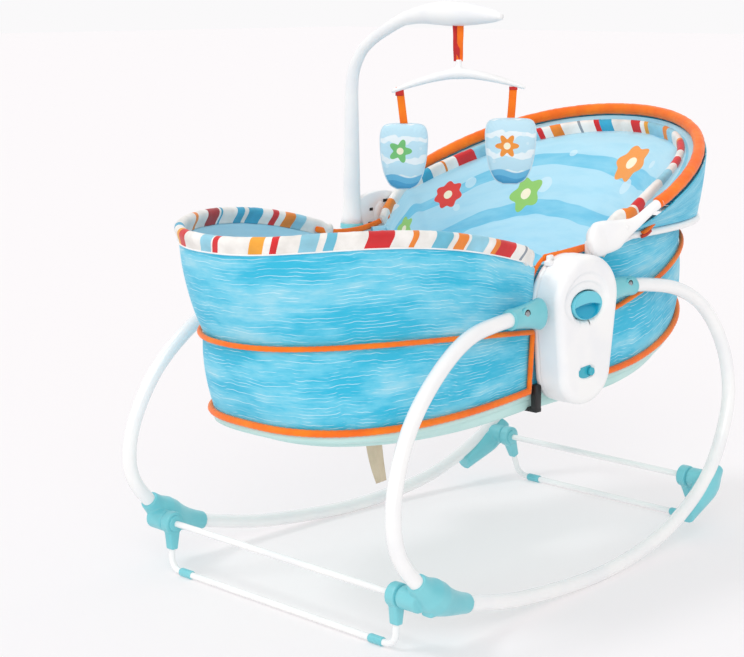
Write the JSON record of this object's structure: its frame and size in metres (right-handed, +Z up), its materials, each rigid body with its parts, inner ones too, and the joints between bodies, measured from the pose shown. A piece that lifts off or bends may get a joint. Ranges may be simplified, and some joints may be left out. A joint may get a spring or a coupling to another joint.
{
  "type": "rocking bassinet",
  "caption": "Rocking bassinet: a fabric cradle with a tilting backrest hangs between oval rocker hoops with folding stands, under a swinging toy bar with a mobile.",
  "frame": {"origin": "on the floor under the middle of the overall box", "axes": "+X towards the head end, -X towards the foot end, -Y the near side, +Y the far side with the toy bar, +Z up"},
  "size_m": [1.047, 0.6168, 0.8737],
  "materials": {
    "white_tube": "gloss white enamel on steel tube",
    "white_plastic": "satin white moulding",
    "teal_plastic": "light teal satin moulding",
    "teal_button": "darker teal satin moulding",
    "mint_plastic": "pale mint satin moulding",
    "steel": "zinc plated steel",
    "blue_fabric": "woven cloth printed sky blue with fine white waves",
    "pale_fabric": "soft printed cloth, pale blue",
    "striped_fabric": "padded cloth with stripes in red, orange, white and blue",
    "orange_fabric": "orange woven cloth",
    "beige_webbing": "beige webbing",
    "black_plastic": "black moulding"
  },
  "bodies": {
    "rocker": {"base_tray": "mint_plastic", "far_front_foot": "teal_plastic", "far_front_socket": "teal_plastic", "far_front_socket_screw": "steel", "far_hoop": "white_tube", "far_housing_back": "white_plastic", "far_housing_cover": "white_plastic", "far_rear_foot": "teal_plastic", "far_rear_socket": "teal_plastic", "far_rear_socket_screw": "steel", "foot_bag": "blue_fabric", "foot_piping": "orange_fabric", "front_cross_tube": "white_tube", "front_rim_cover": "striped_fabric", "front_rim_tube": "steel", "head_bag": "blue_fabric", "head_piping": "orange_fabric", "head_rim": "white_plastic", "mattress": "pale_fabric", "near_front_foot": "teal_plastic", "near_front_socket": "teal_plastic", "near_front_socket_screw": "steel", "near_hoop": "white_tube", "near_housing_back": "white_plastic", "near_housing_cover": "white_plastic", "near_rear_foot": "teal_plastic", "near_rear_socket": "teal_plastic", "near_rear_socket_screw": "steel", "rear_cross_tube": "white_tube", "toy_bar_socket": "teal_plastic", "tray_brace": "black_plastic", "tray_strap": "beige_webbing"},
    "front_stand": {"front_stand_rod": "white_tube", "near_front_stand_clip": "teal_plastic", "near_front_stand_grip": "teal_plastic", "far_front_stand_clip": "teal_plastic", "far_front_stand_grip": "teal_plastic"},
    "rear_stand": {"rear_stand_rod": "white_tube", "near_rear_stand_clip": "teal_plastic", "near_rear_stand_grip": "teal_plastic", "far_rear_stand_clip": "teal_plastic", "far_rear_stand_grip": "teal_plastic"},
    "near_button": {"near_release_button": "teal_button"},
    "far_button": {"far_release_button": "teal_button"},
    "near_switch": {"near_slide_switch": "teal_button"},
    "far_switch": {"far_slide_switch": "teal_button"},
    "backrest": {"backrest_tube": "steel", "backrest_sleeve": "orange_fabric", "near_pivot_arm": "white_plastic", "far_pivot_arm": "white_plastic", "backrest_liner": "pale_fabric", "headrest_band": "striped_fabric", "backrest_hood": "blue_fabric"},
    "toy_bar": {"toy_bar": "white_plastic"},
    "mobile": {"mobile_ribbon": "orange_fabric", "mobile_bow": "white_plastic"},
    "foot_toy": {"foot_toy_strap": "orange_fabric", "foot_toy": "pale_fabric"},
    "head_toy": {"head_toy_strap": "orange_fabric", "head_toy": "pale_fabric"}
  },
  "joints": [
    {"name": "front_stand_fold", "type": "hinge", "parent": "rocker", "child": "front_stand", "pos_m": [-0.38, 0, 0.08083], "axis": [0, -1, 0], "range_deg": [0, 100]},
    {"name": "rear_stand_fold", "type": "hinge", "parent": "rocker", "child": "rear_stand", "pos_m": [0.385, 0, 0.08641], "axis": [0, 1, 0], "range_deg": [0, 110]},
    {"name": "near_button_press", "type": "slide", "parent": "rocker", "child": "near_button", "axis": [0, 1, 0], "range_m": [0, 0.005], "stiffness_N_per_m": 400},
    {"name": "near_switch_slide", "type": "slide", "parent": "rocker", "child": "near_switch", "axis": [-1, 0, 0], "range_m": [0, 0.012]},
    {"name": "far_button_press", "type": "slide", "parent": "rocker", "child": "far_button", "axis": [0, -1, 0], "range_m": [0, 0.005], "stiffness_N_per_m": 400},
    {"name": "far_switch_slide", "type": "slide", "parent": "rocker", "child": "far_switch", "axis": [-1, 0, 0], "range_m": [0, 0.012]},
    {"name": "backrest_tilt", "type": "hinge", "parent": "rocker", "child": "backrest", "pos_m": [0.0755, 0, 0.52546], "axis": [0, -1, 0], "range_deg": [-4, 20], "deforming": ["backrest_hood"]},
    {"name": "toy_bar_swing", "type": "hinge", "parent": "rocker", "child": "toy_bar", "pos_m": [0.0125, 0.23242, 0.51346], "axis": [0, 0, 1], "range_deg": [-90, 20]},
    {"name": "mobile_spin", "type": "hinge", "parent": "toy_bar", "child": "mobile", "pos_m": [0.0125, -0.00051, 0.847], "axis": [0, 0, 1], "continuous": true},
    {"name": "foot_toy_swing", "type": "hinge", "parent": "mobile", "child": "foot_toy", "pos_m": [-0.04783, 0.06218, 0.74743], "axis": [0.6934, -0.7206, 0], "range_deg": [-25, 25]},
    {"name": "head_toy_swing", "type": "hinge", "parent": "mobile", "child": "head_toy", "pos_m": [0.07283, -0.0632, 0.74743], "axis": [0.6934, -0.7206, 0], "range_deg": [-25, 25]}
  ]
}
